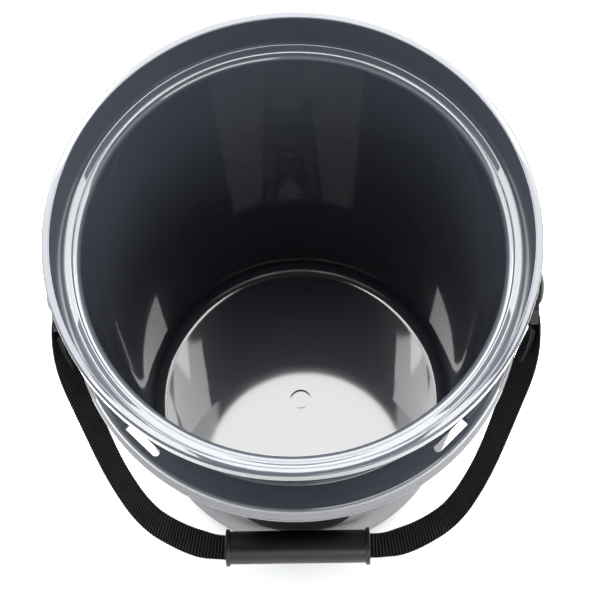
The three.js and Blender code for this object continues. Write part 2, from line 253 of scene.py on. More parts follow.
def skin(bm, rings):
    """Faces between neighbouring rings of vertices, and a flat end on the first and the last."""
    for ring, following in zip(rings, rings[1:]):
        for k in range(len(ring)):
            n = (k + 1) % len(ring)
            bm.faces.new((ring[k], following[k], following[n], ring[n]))
    bm.faces.new(rings[0])
    bm.faces.new(rings[-1][::-1])


def new_object(name, bm, matrix=None):
    """A mesh object from a bmesh in millimetres, placed by matrix and scaled to metres."""
    same_place = 0.0005
    bmesh.ops.remove_doubles(bm, verts=bm.verts, dist=same_place)
    bmesh.ops.recalc_face_normals(bm, faces=bm.faces)
    if matrix is not None:
        bm.transform(matrix)
    bm.transform(Matrix.Scale(MM, 4))
    mesh = bpy.data.meshes.new(name)
    bm.to_mesh(mesh)
    bm.free()
    obj = bpy.data.objects.new(name, mesh)
    bpy.context.scene.collection.objects.link(obj)
    return obj


def turned(name, outline, steps=ROUND_STEPS, span=360.0, start=0.0, matrix=None):
    """A closed outline of (radius, height) turned about Z, all the way or through span degrees.
    Azimuth 0 is at the front, towards -Y, and grows towards +X."""
    bm = bmesh.new()
    whole = span >= 360
    rings = []
    for i in range(steps if whole else steps + 1):
        angle = math.radians(start + span * i / steps)
        rings.append([
            bm.verts.new((r * math.sin(angle), -r * math.cos(angle), z)) for r, z in outline
        ])
    pairs = list(zip(rings, rings[1:] + rings[:1])) if whole else list(zip(rings, rings[1:]))
    closed = outline[0][0] > 0
    for ring, following in pairs:
        for k in range(len(outline) if closed else len(outline) - 1):
            n = (k + 1) % len(outline)
            bm.faces.new((ring[k], following[k], following[n], ring[n]))
    if not whole:
        bm.faces.new(rings[0])
        bm.faces.new(rings[-1][::-1])
    return new_object(name, bm, matrix)


def prism(name, outline, low, high, matrix=None):
    """A flat outline of (x, y) points pushed up from z=low to z=high."""
    bm = bmesh.new()
    bottom = [bm.verts.new((x, y, low)) for x, y in outline]
    top = [bm.verts.new((x, y, high)) for x, y in outline]
    bm.faces.new(bottom[::-1])
    bm.faces.new(top)
    for i in range(len(outline)):
        n = (i + 1) % len(outline)
        bm.faces.new((bottom[i], bottom[n], top[n], top[i]))
    return new_object(name, bm, matrix)


def at_azimuth(degrees):
    """Turns a piece made at the front, towards -Y, round to an azimuth; 90 is +X."""
    return Matrix.Rotation(math.radians(degrees), 4, "Z")


def at_side(side):
    """Turns a piece made along the swing axis, towards +X, to the right (1) or left (-1) ear."""
    return Matrix.Translation((0, 0, HINGE_Z)) @ at_azimuth(0 if side > 0 else 180)


# Stands a prism's outline up in the Y-Z plane, with its thickness along X.
UPRIGHT = Matrix(((0, 0, 1, 0), (1, 0, 0, 0), (0, 1, 0, 0), (0, 0, 0, 1)))
ALONG_X = Matrix.Rotation(math.radians(90), 4, "Y")
HANDLE = Matrix.Translation(hinge) @ Matrix.Rotation(-HANDLE_LEAN, 4, "X")


def apply_modifiers(obj):
    """Replace the object's mesh by the mesh that its modifiers make."""
    graph = bpy.context.evaluated_depsgraph_get()
    mesh = bpy.data.meshes.new_from_object(obj.evaluated_get(graph))
    old = obj.data
    obj.modifiers.clear()
    obj.data = mesh
    mesh.name = obj.name
    bpy.data.meshes.remove(old)


def combine(obj, others, operation):
    """Join the others to obj, or cut them from it, and delete them."""
    for other in others:
        modifier = obj.modifiers.new("combine", "BOOLEAN")
        modifier.operation = operation
        modifier.solver = "MANIFOLD"
        modifier.object = other
    bpy.context.view_layer.update()
    apply_modifiers(obj)
    for other in others:
        bpy.data.objects.remove(other)


def bevel(obj, width, segments=3, angle=30):
    """Round off the sharp edges of obj."""
    modifier = obj.modifiers.new("bevel", "BEVEL")
    modifier.width = width * MM
    modifier.segments = segments
    modifier.limit_method = "ANGLE"
    modifier.angle_limit = math.radians(angle)
    modifier.use_clamp_overlap = True
    bpy.context.view_layer.update()
    apply_modifiers(obj)


def smooth(obj, angle=32):
    """Smooth shading that keeps edges sharper than angle degrees crisp and large faces flat."""
    bm = bmesh.new()
    bm.from_mesh(obj.data)
    for face in bm.faces:
        face.smooth = True
    for edge in bm.edges:
        edge.smooth = len(edge.link_faces) == 2 and edge.calc_face_angle() < math.radians(angle)
    bm.to_mesh(obj.data)
    bm.free()
    modifier = obj.modifiers.new("weighted", "WEIGHTED_NORMAL")
    modifier.weight = 100
    modifier.keep_sharp = True
    bpy.context.view_layer.update()
    apply_modifiers(obj)


def finish_piece(obj, body, material, slot, *nodes):
    """Give a piece its material and its moving body, and hide the CAD nodes that it replaces; slot is
    not used.
    """
    obj.data.materials.clear()
    obj.data.materials.append(material)
    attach(obj, body)
    if nodes:
        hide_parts(*nodes)
    return obj


# ---------------------------------------------------------------- materials


class Nodes:
    """A short way to write a material's node tree."""

    def __init__(self, name):
        self.material = bpy.data.materials.new(name)
        self.material.use_nodes = True
        self.tree = self.material.node_tree
        self.shader = self.tree.nodes["Principled BSDF"]

    def feed(self, socket, value):
        """Link an output to the socket, or set the socket to a plain value."""
        if isinstance(value, bpy.types.NodeSocket):
            self.tree.links.new(value, socket)
        else:
            socket.default_value = value

    def add(self, kind, inputs=None, **settings):
        """A new node with its settings and then its inputs filled in."""
        node = self.tree.nodes.new("ShaderNode" + kind)
        for key, value in settings.items():
            setattr(node, key, value)
        for key, value in (inputs or {}).items():
            self.feed(node.inputs[key], value)
        return node

    def math(self, operation, a, b=0.0, clamp=False):
        """One operation on one or two numbers or outputs."""
        return self.add("Math", {0: a, 1: b}, operation=operation, use_clamp=clamp).outputs[0]

    def position(self):
        """Object position in millimetres, as x, y and z outputs."""
        coordinates = self.add("TexCoord").outputs["Object"]
        scaled = self.add("VectorMath", {0: coordinates, 3: 1 / MM}, operation="SCALE").outputs[0]
        split = self.add("SeparateXYZ", {0: scaled})
        return scaled, split.outputs[0], split.outputs[1], split.outputs[2]

    def noise(self, vector, scale, detail=4.0, roughness=0.5):
        """Cloudy noise from 0 to 1; scale is in features per millimetre."""
        inputs = {"Vector": vector, "Scale": scale, "Detail": detail, "Roughness": roughness}
        return self.add("TexNoise", inputs).outputs["Fac"]

    def stretch(self, vector, factors):
        """The vector scaled along each axis; a factor below 1 draws a noise out along that axis."""
        return self.add("VectorMath", {0: vector, 1: factors}, operation="MULTIPLY").outputs[0]

    def ramp(self, value, low, high, out_low, out_high):
        """Map value from low..high to out_low..out_high, clamped."""
        inputs = {
            "Value": value, "From Min": low, "From Max": high, "To Min": out_low, "To Max": out_high,
        }
        return self.add("MapRange", inputs).outputs[0]

    def mix(self, factor, a, b):
        """A colour from a, where factor is 0, to b, where it is 1."""
        inputs = {"Factor": factor, "A": a, "B": b}
        return self.add("Mix", inputs, data_type="RGBA").outputs["Result"]

    def bump(self, height, strength, distance, normal=None):
        """A surface normal roughened by height, over a depth of distance millimetres."""
        inputs = {"Height": height, "Strength": strength, "Distance": distance * MM}
        if normal is not None:
            inputs["Normal"] = normal
        return self.add("Bump", inputs).outputs[0]

    def surface(self, **sockets):
        """Set the shader's sockets, with _ for each space in their names, and give the material."""
        for key, value in sockets.items():
            self.feed(self.shader.inputs[key.replace("_", " ")], value)
        return self.material


def bucket_plastic():
    """Glossy anthracite polypropylene: faint moulding waves, a cloudy haze and a few fine scratches.
    The base is dark and hazy, and a clear coat over it gives the sharp reflections."""
    n = Nodes("bucket_plastic")
    place, _, _, z = n.position()
    clouds = n.noise(place, 0.02, 3.0)
    waviness = n.ramp(z, FLOOR_Z, FLOOR_Z + HEEL_ROUND, 0.08, 1.0)  # the floor is much flatter
    long_waves = n.noise(n.stretch(place, (1.0, 1.0, 0.35)), 0.035, 2.0)
    waves = n.math("MULTIPLY", long_waves, waviness)
    scratches = n.noise(n.stretch(place, (1.0, 0.05, 1.0)), 1.4, 2.0, 0.7)
    scratched = n.math("MULTIPLY", n.ramp(scratches, 0.70, 0.76, 0.0, 1.0), 0.08)
    colour = n.mix(clouds, (0.031, 0.034, 0.042, 1), (0.037, 0.0405, 0.050, 1))
    haze = n.math("ADD", n.ramp(clouds, 0.3, 0.7, 0.26, 0.34), scratched)
    wavy = n.bump(waves, 0.15, 0.4)
    fine = n.bump(n.noise(place, 1.1, 3.0), 0.03, 0.05, wavy)
    return n.surface(
        Base_Color=colour, Roughness=haze, Normal=fine, IOR=1.12,
        Coat_Weight=1.0, Coat_Roughness=0.035, Coat_IOR=1.6, Coat_Normal=wavy,
    )


def drop_print(n, x, y, z):
    """1 inside a plain water drop at the front of the wall and 0 outside it."""
    up = n.math("SUBTRACT", z, DROP_MIDDLE)
    below = n.math("MINIMUM", n.math("DIVIDE", up, DROP_RADIUS), 0.0)
    circle = n.math("SUBTRACT", 1.0, n.math("MULTIPLY", below, below))
    rounded = n.math("SQRT", n.math("MAXIMUM", circle, 0.0))
    above = n.math("DIVIDE", up, DROP_TIP, clamp=True)
    taper = n.math("SUBTRACT", 1.0, n.math("MULTIPLY", above, above))
    pointed = n.math("POWER", taper, 1.5)
    half_width = n.math("MULTIPLY", n.math("MULTIPLY", rounded, pointed), DROP_RADIUS)
    azimuth = n.math("ARCTAN2", x, n.math("MULTIPLY", y, -1.0))
    around = n.math("ADD", n.math("MULTIPLY", azimuth, outer_radius(DROP_MIDDLE)), DROP_SHIFT)
    margin = n.math("SUBTRACT", half_width, n.math("ABSOLUTE", around))
    inside = n.ramp(margin, -0.2, 0.2, 0.0, 1.0)
    return n.math("MULTIPLY", inside, n.math("GREATER_THAN", half_width, 0.5))


def label_film():
    """Matt light grey film, printed with a plain dark water drop at the front of the wall."""
    n = Nodes("label_film")
    place, x, y, z = n.position()
    clouds = n.noise(place, 0.05, 4.0)
    paper = n.mix(clouds, (0.175, 0.176, 0.179, 1), (0.195, 0.196, 0.199, 1))
    ink = n.mix(clouds, (0.006, 0.0065, 0.0075, 1), (0.009, 0.0095, 0.0105, 1))
    colour = n.mix(drop_print(n, x, y, z), paper, ink)
    dull = n.ramp(n.noise(place, 0.4, 5.0), 0.3, 0.7, 0.52, 0.64)
    grain = n.bump(n.noise(place, 2.2, 3.0), 0.08, 0.05)
    return n.surface(Base_Color=colour, Roughness=dull, Normal=grain, IOR=1.06)


def black_webbing():
    """Black woven webbing: cross ribs and twisted yarns, with a painted highlight on the rib crests,
    patchy with dust, and painted shade in the valleys.
    """
    n = Nodes("black_webbing")
    place = n.position()[0]
    weave = n.add("SeparateXYZ", {0: n.add("UVMap", uv_map="weave").outputs[0]})
    along = weave.outputs[0]
    across = weave.outputs[1]
    rib = n.math("ABSOLUTE", n.math("COSINE", n.math("MULTIPLY", along, math.pi / STRAP_RIB_PITCH)))
    columns = n.math("SINE", n.math("MULTIPLY", across, 2 * math.pi / COLUMN_PITCH))
    slant = n.math("ADD", along, n.math("MULTIPLY", across, 0.8))
    twist = n.math("SINE", n.math("MULTIPLY", slant, 2 * math.pi / YARN_PITCH))
    yarns = n.math("ADD", n.math("MULTIPLY", columns, 0.5), n.math("MULTIPLY", twist, 0.4))
    relief = n.math("ADD", yarns, n.math("MULTIPLY", rib, 4.0))
    # Painted highlight and shade: raised marks the rib crests, which are painted lighter, and leaves
    # the valleys painted darker; the dust noise makes the crests' painted highlight patchy.
    raised = n.ramp(relief, 2.8, 4.6, 0.0, 1.0)
    dust = n.noise(place, 0.06, 4.0)
    high = n.math("MULTIPLY", raised, n.ramp(dust, 0.35, 0.7, 0.6, 1.0))
    # Near black in the valleys as painted shade, dark grey on the crests as a painted highlight.
    colour = n.mix(high, (0.0003, 0.0003, 0.0004, 1), (0.055, 0.055, 0.057, 1))
    fuzz = n.noise(place, 3.0, 6.0, 0.7)
    rough = n.ramp(fuzz, 0.3, 0.7, 0.62, 0.82)
    woven = n.bump(n.math("ADD", n.math("MULTIPLY", yarns, 0.5), fuzz), 0.55, 0.16)
    return n.surface(
        Base_Color=colour, Roughness=rough, Normal=woven,
        Sheen_Weight=0.01, Sheen_Roughness=0.5, IOR=1.18,
    )


def thread():
    """Twisted black sewing thread, a little glossier than the webbing."""
    n = Nodes("stitch_thread")
    strands = n.noise(n.position()[0], 2.5, 2.0)
    colour = n.mix(strands, (0.008, 0.008, 0.009, 1), (0.022, 0.022, 0.023, 1))
    rough = n.ramp(strands, 0.3, 0.7, 0.4, 0.6)
    return n.surface(Base_Color=colour, Roughness=rough, Normal=n.bump(strands, 0.5, 0.1))


def black_plastic():
    """Satin black plastic with a fine moulded grain and dull rubbed patches."""
    n = Nodes("black_plastic")
    place = n.position()[0]
    rubbed = n.noise(n.stretch(place, (0.35, 1.0, 1.0)), 0.09, 4.0)
    grain = n.noise(place, 2.4, 3.0)
    colour = n.mix(rubbed, (0.0016, 0.0016, 0.0018, 1), (0.0026, 0.0026, 0.003, 1))
    rough = n.ramp(rubbed, 0.3, 0.7, 0.33, 0.46)
    return n.surface(Base_Color=colour, Roughness=rough, Normal=n.bump(grain, 0.12, 0.06), IOR=1.4)


# ---------------------------------------------------------------- bucket body


def heel_curve(offset, bottom):
    """The outside of the heel, where the wall draws in to the foot, from the bottom up."""
    start = (FOOT_RADIUS + offset, bottom)
    control = (outer_radius(HEEL_TOP / 2) + offset, HEEL_TOP / 2)
    end = (outer_radius(HEEL_TOP) + offset, HEEL_TOP)
    return bend(start, control, end)


def outside_outline():
    """The bucket's outside, from the middle of the recessed base up to the rim's outer edge."""
    under = COLLAR_TOP - WALL
    step = BAND_THICKNESS + GAP
    neck_top = RIM_TOP - RIM_DEPTH
    hook = RIM_RADIUS - 2.2
    groove_top = neck_top + 7
    fillet = 1.6
    edge_middle = COLLAR_EDGE_RADIUS - COLLAR_EDGE_ROUND
    return [
        (0, RECESS_Z), (FOOT_INNER_RADIUS - 2, RECESS_Z),
        *arc(FOOT_INNER_RADIUS - 1.6, RECESS_Z - 1.4, 1.4, 90, 0, 4),
        *arc(FOOT_INNER_RADIUS + 0.6, 0.6, 0.6, 180, 270, 3),
        *arc(FOOT_RADIUS - 1.0, 1.0, 1.0, 270, 350, 4),
        *heel_curve(0, 1.6),
        *arc(outer_radius(under) + 2, under - 2, 2, 180, 90, 4),
        *arc(skirt_radius(under) - SKIRT - 2, under - 2, 2, 90, 5, 4),
        (skirt_radius(COLLAR_BOTTOM) - SKIRT, COLLAR_BOTTOM + 0.4),
        (skirt_radius(COLLAR_BOTTOM) - SKIRT + 0.4, COLLAR_BOTTOM),
        (COLLAR_BOTTOM_RADIUS - 0.6, COLLAR_BOTTOM),
        (COLLAR_BOTTOM_RADIUS, COLLAR_BOTTOM + 0.6),
        (skirt_radius(BAND_BOTTOM), BAND_BOTTOM),
        (skirt_radius(BAND_BOTTOM) - step, BAND_BOTTOM), (skirt_radius(BAND_TOP) - step, BAND_TOP),
        (skirt_radius(BAND_TOP), BAND_TOP),
        *arc(edge_middle, COLLAR_TOP - COLLAR_EDGE_ROUND, COLLAR_EDGE_ROUND, 0, 90, 8),
        *arc(outer_radius(COLLAR_TOP) + fillet, COLLAR_TOP + fillet, fillet, 270, 180, 8),
        *arc(outer_radius(CAVITY_TOP_Z - 6) + 4, CAVITY_TOP_Z - 6, 4, 180, 130, 4),
        *arc(LEDGE_RADIUS + WALL - 3, LEDGE_Z - 1, 3, -50, 0, 4),
        (RIM_RADIUS - RIM_WIDTH, neck_top), (RIM_RADIUS - RIM_WIDTH + 0.4, groove_top),
        (hook, groove_top), (hook, neck_top + 0.3), (hook + 0.3, neck_top),
        (RIM_RADIUS - 0.5, neck_top), (RIM_RADIUS, neck_top + 0.5),
    ]


def inside_outline():
    """The rim's top and the bucket's inside, from the rim's outer edge to the middle of the floor."""
    heel_middle = inner_radius(FLOOR_Z + HEEL_ROUND) - HEEL_ROUND
    inner_edge = RIM_RADIUS - RIM_WIDTH
    mouth_round = 5.6
    mouth_edge = CAVITY_TOP_RADIUS + mouth_round
    mouth_top = CAVITY_TOP_Z + mouth_round
    return [
        *arc(RIM_RADIUS - RIM_ROUND, RIM_TOP - RIM_ROUND, RIM_ROUND, 0, 90, 8),
        *arc(inner_edge + 1.0, RIM_TOP - 1.0, 1.0, 90, 180, 5),
        *arc(LEDGE_RADIUS - 0.6, LEDGE_Z + 0.1, 0.6, 0, -88, 4),
        (LEDGE_RADIUS - 1.2, LEDGE_Z - 0.55),
        (mouth_edge + 0.7, mouth_top + 0.2), (mouth_edge, mouth_top),
        *arc(mouth_edge, mouth_top - mouth_round, mouth_round, 85, 178, 10),
        *witness_line(283, 276, 0.1),
        *arc(heel_middle, FLOOR_Z + HEEL_ROUND, HEEL_ROUND, -2, -90, 14),
        (GATE_RING + 2 * GATE_RING_HALF, FLOOR_Z), *gate_swell(12), (4.5, FLOOR_Z), (0, FLOOR_Z),
    ]


def witness_line(top, bottom, depth):
    """The shallow line that the collar leaves on the inside of the wall, from the top down."""
    return [
        (inner_radius(top), top), (inner_radius(top - 2) + depth, top - 2),
        (inner_radius(bottom + 2) + depth, bottom + 2), (inner_radius(bottom), bottom),
    ]


def gate_swell(steps):
    """The gate ring's gentle swell on the floor, from its outer edge inwards."""
    points = []
    for i in range(steps + 1):
        t = 1 - 2 * i / steps
        rise = GATE_RING_HEIGHT * (1 + math.cos(math.pi * t)) / 2
        points.append((GATE_RING + GATE_RING_HALF * t, FLOOR_Z + rise))
    return points


def drain_slot(azimuth, mirrored):
    """Cutter for a slot through the collar: square at the ear's end, round at the other."""
    half = SLOT_LENGTH / 2
    r = SLOT_WIDTH / 2
    round_end = arc(-half + r, 0, r, 90, 270, 10)
    outline = [(half, -r), (half, r), *round_end]
    if mirrored:
        outline = [(-x, y) for x, y in reversed(outline)]
    matrix = at_azimuth(azimuth) @ Matrix.Translation((0, -SLOT_RADIUS, 0))
    return prism("slot", outline, COLLAR_TOP - 10, COLLAR_TOP + 10, matrix)


def gusset(azimuth):
    """A stiffener standing on the shelf against the neck."""
    inside = -inner_radius(COLLAR_TOP) - 1
    foot = -outer_radius(COLLAR_TOP)
    outline = [
        (inside, -1), (-PAD_RADIUS, -1), (-PAD_RADIUS, 1),
        *bend((-PAD_RADIUS + 0.6, 1.6), (foot - 1.5, 2.6), (foot, GUSSET_HEIGHT), 6),
        (inside, GUSSET_HEIGHT),
    ]
    matrix = at_azimuth(azimuth) @ Matrix.Translation((0, 0, COLLAR_TOP)) @ UPRIGHT
    piece = prism("gusset", outline, -GUSSET_THICKNESS / 2, GUSSET_THICKNESS / 2, matrix)
    bevel(piece, 0.5, 2)
    return piece


def collar_rib(azimuth):
    """A thin rib between the wall and the skirt, under the collar."""
    inside = -inner_radius(RIB_BOTTOM) - 1
    outline = [
        (inside, RIB_BOTTOM), (-COLLAR_EDGE_RADIUS + 1, RIB_BOTTOM),
        (-COLLAR_EDGE_RADIUS + 1, COLLAR_TOP - 1), (inside, COLLAR_TOP - 1),
    ]
    return prism("rib", outline, -RIB_THICKNESS / 2, RIB_THICKNESS / 2, at_azimuth(azimuth) @ UPRIGHT)


def ear_pad(side):
    """A low raised pad on the shelf, under an ear and as far as the gussets at both sides of it."""
    inside = inner_radius(COLLAR_TOP) + 1
    edge = 0.8
    outline = [
        (inside, COLLAR_TOP - 1), (PAD_RADIUS, COLLAR_TOP - 1),
        *arc(PAD_RADIUS - edge, COLLAR_TOP + PAD_HEIGHT - edge, edge, 0, 90, 4),
        (inside, COLLAR_TOP + PAD_HEIGHT),
    ]
    spread = 90 - GUSSET_AZIMUTH
    return turned("pad", outline, 60, 2 * spread, side * 90 - spread)


def ear(side):
    """The block and round boss that carry a pivot pin, with its blind bore."""
    top = arc(0, 0, EAR_HALF_WIDTH, 0, 180, 32)
    outline = [(-EAR_HALF_WIDTH, EAR_BOTTOM - HINGE_Z), (EAR_HALF_WIDTH, EAR_BOTTOM - HINGE_Z), *top]
    place = at_side(side)
    block = prism("ear", outline, inner_radius(HINGE_Z) + 1, EAR_FACE, place @ UPRIGHT)
    bevel(block, 0.8, 3, 60)
    chamfer = 0.6
    boss_outline = [
        (0, EAR_FACE - 2), (BOSS_RADIUS, EAR_FACE - 2), (BOSS_RADIUS, BOSS_FACE - chamfer),
        (BOSS_RADIUS - chamfer, BOSS_FACE), (0, BOSS_FACE),
    ]
    boss = turned("boss", boss_outline, 64, matrix=place @ ALONG_X)
    combine(block, [boss], "UNION")
    wide = PIN_BARB + 0.4
    narrow = PIN_SHANK + GAP
    mouth = BOSS_FACE + 5
    bore_outline = [
        (0, BORE_END), (wide, BORE_END), (wide, BORE_STEP),
        (narrow, BORE_STEP), (narrow, mouth), (0, mouth),
    ]
    bore = turned("bore", bore_outline, 48, matrix=place @ ALONG_X)
    return block, bore


def bucket_body(material):
    """The whole moulding: the turned shell with its ribs, gussets, pads and ears, bored and slotted."""
    body = turned("bucket_body_shell", outside_outline() + inside_outline())
    additions = []
    cutters = []
    for azimuth in RIB_AZIMUTHS:
        turns = {azimuth, -azimuth, 180 - azimuth, azimuth - 180} if azimuth else {0, 180}
        additions += [collar_rib(turn) for turn in sorted(turns)]
    for side in (1, -1):
        for turn in (side * GUSSET_AZIMUTH, side * (180 - GUSSET_AZIMUTH)):
            additions.append(gusset(turn))
        additions.append(ear_pad(side))
        block, bore = ear(side)
        additions.append(block)
        cutters.append(bore)
        cutters.append(drain_slot(side * SLOT_AZIMUTH, side < 0))
        cutters.append(drain_slot(side * (180 - SLOT_AZIMUTH), side > 0))
    combine(body, additions, "UNION")
    combine(body, cutters, "DIFFERENCE")
    smooth(body)
    return finish_piece(body, "bucket", material, "bucket_plastic", "bucket_body")


# ---------------------------------------------------------------- label and collar trim


def wall_label(material):
    """The film wrapped round the wall, with a narrow open seam at the back."""
    inner = GAP
    outer = GAP + LABEL_THICKNESS
    edge = 0.2
    top_radius = outer_radius(LABEL_TOP)
    outline = [
        *heel_curve(outer, LABEL_BOTTOM),
        (top_radius + outer, LABEL_TOP - edge),
        (top_radius + outer - edge, LABEL_TOP), (top_radius + inner, LABEL_TOP),
        *reversed(heel_curve(inner, LABEL_BOTTOM)),
    ]
    seam = math.degrees(LABEL_SEAM / top_radius)
    label = turned("wall_label", outline, ROUND_STEPS, 360 - seam, 180 + seam / 2)
    smooth(label)
    return finish_piece(label, "bucket", material, "label_film", "body_label")


def trim_strip(name, middle, node, material):
    """A curved strip in the skirt's recess, from one ear round to the other."""
    low = BAND_BOTTOM + GAP
    high = BAND_TOP - GAP
    edge = 0.2
    outline = [
        (skirt_radius(low) - edge, low), (skirt_radius(low), low + edge),
        (skirt_radius(high), high - edge), (skirt_radius(high) - edge, high),
        (skirt_radius(high) - BAND_THICKNESS, high), (skirt_radius(low) - BAND_THICKNESS, low),
    ]
    spread = 90 - math.degrees(math.asin((EAR_HALF_WIDTH + 2 * GAP) / COLLAR_BOTTOM_RADIUS))
    strip = turned(name, outline, 200, 2 * spread, middle - spread)
    smooth(strip)
    return finish_piece(strip, "bucket", material, "label_film", node)


# ---------------------------------------------------------------- pins and links


def pivot_pin(side, node, material):
    """A pin with a shallow domed head outside the link and a barb inside the ear."""
    head = LINK_X + LINK_THICKNESS / 2 + GAP
    top = head + PIN_HEAD_HEIGHT
    outline = [
        (0, PIN_TIP), (PIN_BARB - 2, PIN_TIP), (PIN_BARB, PIN_TIP + 2.4), (PIN_SHANK, PIN_TIP + 3.4),
        (PIN_SHANK, BOSS_FACE),
        (PIN_RADIUS, BOSS_FACE + GAP), (PIN_RADIUS, head), (PIN_HEAD_RADIUS - 0.4, head),
        *arc(PIN_HEAD_RADIUS - 0.8, head + 0.8, 0.8, -30, 40, 4),
        *bend((PIN_HEAD_RADIUS - 0.5, head + 1.6), (PIN_HEAD_RADIUS * 0.78, top), (2.6, top), 12),
        (2.2, top - 0.35), (0, top - 0.35),
    ]
    pin = turned(node + "_head", outline, 72, matrix=at_side(side) @ ALONG_X)
    smooth(pin, 40)
    return finish_piece(pin, "bucket", material, "black_plastic", node)


def link_outline():
    """The link's outline in the handle's frame: the eye above, and a frame's two legs below."""
    low = -(BAR_DROP + LINK_THICKNESS / 2 - 0.6)
    corner = 3
    eye_join = math.radians(10)
    side = [
        *bend(
            (FRAME_HALF_WIDTH - corner, low), (FRAME_HALF_WIDTH, low),
            (FRAME_HALF_WIDTH, low + corner), 5,
        ),
        *bend(
            (FRAME_HALF_WIDTH, -SHOULDER_DROP), (FRAME_HALF_WIDTH - 1, -8),
            (EYE_RADIUS * math.cos(eye_join), -EYE_RADIUS * math.sin(eye_join)), 8,
        ),
    ]
    eye = arc(0, 0, EYE_RADIUS, -8, 188, 40)
    window = [
        (-WINDOW_HALF_WIDTH, low), (-WINDOW_HALF_WIDTH, -WINDOW_TOP),
        (WINDOW_HALF_WIDTH, -WINDOW_TOP), (WINDOW_HALF_WIDTH, low),
    ]
    return [*side, *eye, *[(-y, z) for y, z in reversed(side)], *window]


def rod_outline(radius, half_length):
    """The outline to turn into a plain rod about its own middle."""
    return [(0, -half_length), (radius, -half_length), (radius, half_length), (0, half_length)]


def strap_link(side, node, material):
    """The plastic link between a pin and the webbing: an eye, two legs and a round bar."""
    half = LINK_THICKNESS / 2
    eye_place = HANDLE @ Matrix.Translation((side * LINK_X, 0, 0))
    past_faces = 9
    link = prism(node + "_frame", link_outline(), -half, half, eye_place @ UPRIGHT)
    hole = turned("eye", rod_outline(PIN_RADIUS + GAP, past_faces), 48, matrix=eye_place @ ALONG_X)
    combine(link, [hole], "DIFFERENCE")
    bevel(link, 0.9, 3, 40)
    bar_place = HANDLE @ Matrix.Translation((side * LINK_X, 0, -BAR_DROP))
    along_y = Matrix.Rotation(math.radians(90), 4, "X")
    bar = turned("bar", rod_outline(half, FRAME_HALF_WIDTH - 2), 32, matrix=bar_place @ along_y)
    combine(link, [bar], "UNION")
    smooth(link, 40)
    return finish_piece(link, "handle", material, "black_plastic", node)


# ---------------------------------------------------------------- webbing strap


def strap_line():
    """The webbing's middle line in the handle's plane, as (side, drop, twist), from tail to tail."""
    leg = spline(STRAP_ROUTE, 1.0)
    fold = STRAP_THICKNESS + 0.35  # from the folded end to the leg that it lies on
    tail_top = BAR_DROP + 11
    tail = [
        Vector((point.x - fold, point.y, point.z))
        for point in leg if tail_top < point.y < BAR_DROP + STRAP_TAIL
    ]
    loop_radius = LINK_THICKNESS / 2 + GAP + 1
    loop_steps = 24
    loop = []
    for i in range(loop_steps + 1):
        angle = math.pi * (1 - i / loop_steps)
        x = LINK_X + loop_radius * math.cos(angle)
        loop.append(Vector((x, BAR_DROP - loop_radius * math.sin(angle), 0)))
    pull = (loop[0].x - 0.2, BAR_DROP + 6, 0)
    neck = [Vector(point) for point in bend(tuple(tail[0]), pull, tuple(loop[0]), 8)]
    right = [*tail[:0:-1], *neck[:-1], *loop, *leg[1:]]
    left = [Vector((-point.x, point.y, point.z)) for point in reversed(right)]
    return right + left


def strap_half_width(side):
    """Half the webbing's width, which is a little less inside and beside the grip."""
    start = GRIP_LENGTH / 2 + 6
    length = 18  # over which it widens
    t = min(max((abs(side) - start) / length, 0), 1)
    t = t * t * (3 - 2 * t)
    return (STRAP_NARROW + (STRAP_WIDTH - STRAP_NARROW) * t) / 2


def webbing_section(half_width, half_thickness):
    """The webbing's cross-section, as (across, up) points: flat faces with rounded edges."""
    across = half_width - half_thickness
    faces = [-across + 2 * across * i / 6 for i in range(7)]
    top = [(a, half_thickness) for a in reversed(faces[1:-1])]
    bottom = [(a, -half_thickness) for a in faces[1:-1]]
    right = arc(across, 0, half_thickness, -90, 90, 4)
    left = arc(-across, 0, half_thickness, 90, 270, 4)
    return [*right, *top, *left, *bottom]


def handle_strap(material):
    """The webbing: a ribbed section carried along the middle line, with a weave map in millimetres."""
    line = evenly(strap_line(), STRAP_RIB_PITCH / 8)
    step = sum((b - a).length for a, b in zip(line, line[1:])) / (len(line) - 1)
    bm = bmesh.new()
    weave = bm.loops.layers.uv.new("weave")
    rings = []
    place = {}
    for i, point in enumerate(line):
        before = line[max(i - 2, 0)]
        after = line[min(i + 2, len(line) - 1)]
        along = Vector((after.x - before.x, 0, before.y - after.y)).normalized()
        flat = Matrix.Rotation(-math.radians(point.z), 3, along) @ Vector((0, 1, 0))
        up = along.cross(flat)
        travelled = i * step
        valley = STRAP_RIB_HEIGHT * (1 - abs(math.cos(math.pi * travelled / STRAP_RIB_PITCH)))
        half_thickness = STRAP_THICKNESS / 2 - valley
        half_width = strap_half_width(point.x) - valley
        ring = []
        for across, height in webbing_section(half_width, half_thickness):
            vert = bm.verts.new(Vector((point.x, 0, -point.y)) + up * height + flat * across)
            place[vert] = (travelled, across if height >= 0 else across + 2 * STRAP_WIDTH)
            ring.append(vert)
        rings.append(ring)
    skin(bm, rings)
    for face in bm.faces:
        for loop in face.loops:
            loop[weave].uv = place[loop.vert]
    strap = new_object("webbing_strap", bm, HANDLE)
    smooth(strap, 60)
    return finish_piece(strap, "handle", material, "webbing", "handle_strap")


def stitch_path():
    """The sewn box and cross on a folded end, as (across, drop) corners."""
    half = STRAP_WIDTH / 2 - 3.2
    top = BAR_DROP + 14
    low = BAR_DROP + STRAP_TAIL - 3
    box = [(-half, top), (half, top), (half, low), (-half, low), (-half, top)]
    return [*box, (half, low), (half, top), (-half, low)]


